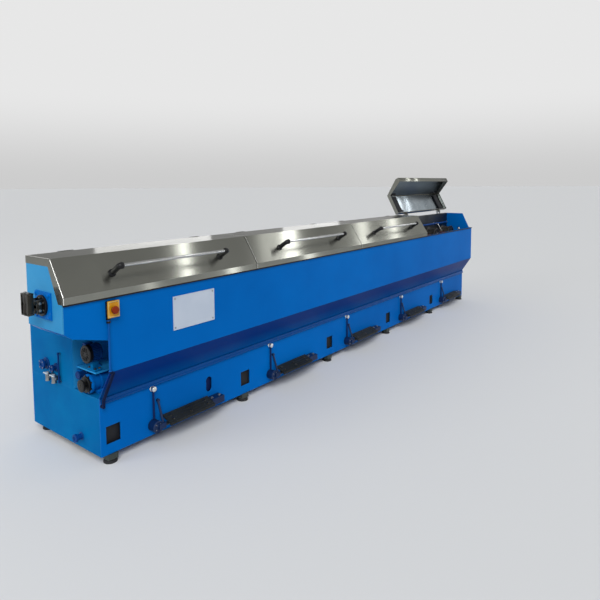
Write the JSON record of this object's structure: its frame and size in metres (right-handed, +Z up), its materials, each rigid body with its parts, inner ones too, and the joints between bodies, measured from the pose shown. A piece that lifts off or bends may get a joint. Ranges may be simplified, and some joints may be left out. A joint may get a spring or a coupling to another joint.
{
  "type": "wire drawing machine",
  "caption": "Long wire drawing machine with hinged stainless covers over its drawing chamber, foot bars along the base and a roller guide at the inlet.",
  "frame": {"origin": "bottom centre of the machine's box, on the floor", "axes": "+X along the wire from inlet to outlet, +Y to the back, +Z up"},
  "size_m": [5.516, 0.89, 1.555],
  "materials": {
    "blue_paint": "glossy enamel",
    "dark_blue_paint": "satin enamel",
    "stainless": "brushed",
    "handle_tube": "polished tube in black elbows",
    "worn_steel": "oily",
    "red_oxide": "satin",
    "black_rubber": "matt",
    "black_steel": "satin",
    "chrome": "polished",
    "green_steel": "matt",
    "yellow_plastic": "gloss",
    "red_plastic": "gloss",
    "sign_white": "satin"
  },
  "bodies": {
    "machine": {"base_front": "blue_paint", "base_frame": "blue_paint", "base_deck": "blue_paint", "inlet_end_plate": "blue_paint", "outlet_end_plate": "blue_paint", "edge_bar": "blue_paint", "sloped_band": "blue_paint", "front_panel": "blue_paint", "inlet_nose": "blue_paint", "inlet_head_plate": "blue_paint", "chamber_floor": "stainless", "bearing_plate": "stainless", "gear_housing": "blue_paint", "lid_ribs": "stainless", "lid_hinges": "stainless", "capstans": "worn_steel", "die_holders": "red_oxide", "inlet_bracket": "blue_paint", "wire_flanges": "black_steel", "inlet_rollers": "chrome", "pump_bay": "blue_paint", "pump_motor": "dark_blue_paint", "pump_body": "dark_blue_paint", "coolant_pipes": "dark_blue_paint", "coolant_valves": "chrome", "drain_pipe": "dark_blue_paint", "foot_pads": "black_rubber", "foot_blocks": "green_steel", "e_stop_box": "yellow_plastic", "e_stop_cable": "black_rubber", "sign_plate": "sign_white", "cable_glands": "chrome", "switch_cables": "black_rubber", "switch_hubs": "dark_blue_paint"},
    "e_stop": {"e_stop_button": "red_plastic"},
    "pedal_1": {"foot_bar_1": "black_steel"},
    "pedal_2": {"foot_bar_2": "black_steel"},
    "pedal_3": {"foot_bar_3": "black_steel"},
    "pedal_4": {"foot_bar_4": "black_steel"},
    "pedal_5": {"foot_bar_5": "black_steel"},
    "cover_1": {"lid_1": "stainless", "lid_handle_1": "handle_tube"},
    "cover_2": {"lid_2": "stainless", "lid_handle_2": "handle_tube"},
    "cover_3": {"lid_3": "stainless", "lid_handle_3": "handle_tube"},
    "cover_4": {"lid_4": "stainless", "lid_handle_4": "handle_tube"}
  },
  "joints": [
    {"name": "cover_1_hinge", "type": "hinge", "parent": "machine", "child": "cover_1", "pos_m": [-1.98825, -0.042, 1.137], "axis": [-1, 0, 0], "range_deg": [0, 118]},
    {"name": "cover_2_hinge", "type": "hinge", "parent": "machine", "child": "cover_2", "pos_m": [-0.64075, -0.042, 1.137], "axis": [-1, 0, 0], "range_deg": [0, 118]},
    {"name": "cover_3_hinge", "type": "hinge", "parent": "machine", "child": "cover_3", "pos_m": [0.70675, -0.042, 1.137], "axis": [-1, 0, 0], "range_deg": [0, 118]},
    {"name": "cover_4_hinge", "type": "hinge", "parent": "machine", "child": "cover_4", "pos_m": [2.05425, -0.042, 1.137], "axis": [1, 0, 0], "range_deg": [0, 118]},
    {"name": "pedal_1_hinge", "type": "hinge", "parent": "machine", "child": "pedal_1", "pos_m": [-1.86, -0.335, 0.11], "axis": [1, 0, 0], "range_deg": [0, 10], "stiffness_Nm_per_rad": 12, "springref_deg": -6.88},
    {"name": "pedal_2_hinge", "type": "hinge", "parent": "machine", "child": "pedal_2", "pos_m": [-0.83, -0.335, 0.11], "axis": [1, 0, 0], "range_deg": [0, 10], "stiffness_Nm_per_rad": 12, "springref_deg": -6.88},
    {"name": "pedal_3_hinge", "type": "hinge", "parent": "machine", "child": "pedal_3", "pos_m": [0.2, -0.335, 0.11], "axis": [1, 0, 0], "range_deg": [0, 10], "stiffness_Nm_per_rad": 12, "springref_deg": -6.88},
    {"name": "pedal_4_hinge", "type": "hinge", "parent": "machine", "child": "pedal_4", "pos_m": [1.23, -0.335, 0.11], "axis": [1, 0, 0], "range_deg": [0, 10], "stiffness_Nm_per_rad": 12, "springref_deg": -6.88},
    {"name": "pedal_5_hinge", "type": "hinge", "parent": "machine", "child": "pedal_5", "pos_m": [2.26, -0.335, 0.11], "axis": [1, 0, 0], "range_deg": [0, 10], "stiffness_Nm_per_rad": 12, "springref_deg": -6.88},
    {"name": "e_stop_push", "type": "slide", "parent": "machine", "child": "e_stop", "axis": [0, 1, 0], "range_m": [0, 0.005], "stiffness_N_per_m": 600, "springref_m": -0.004}
  ]
}
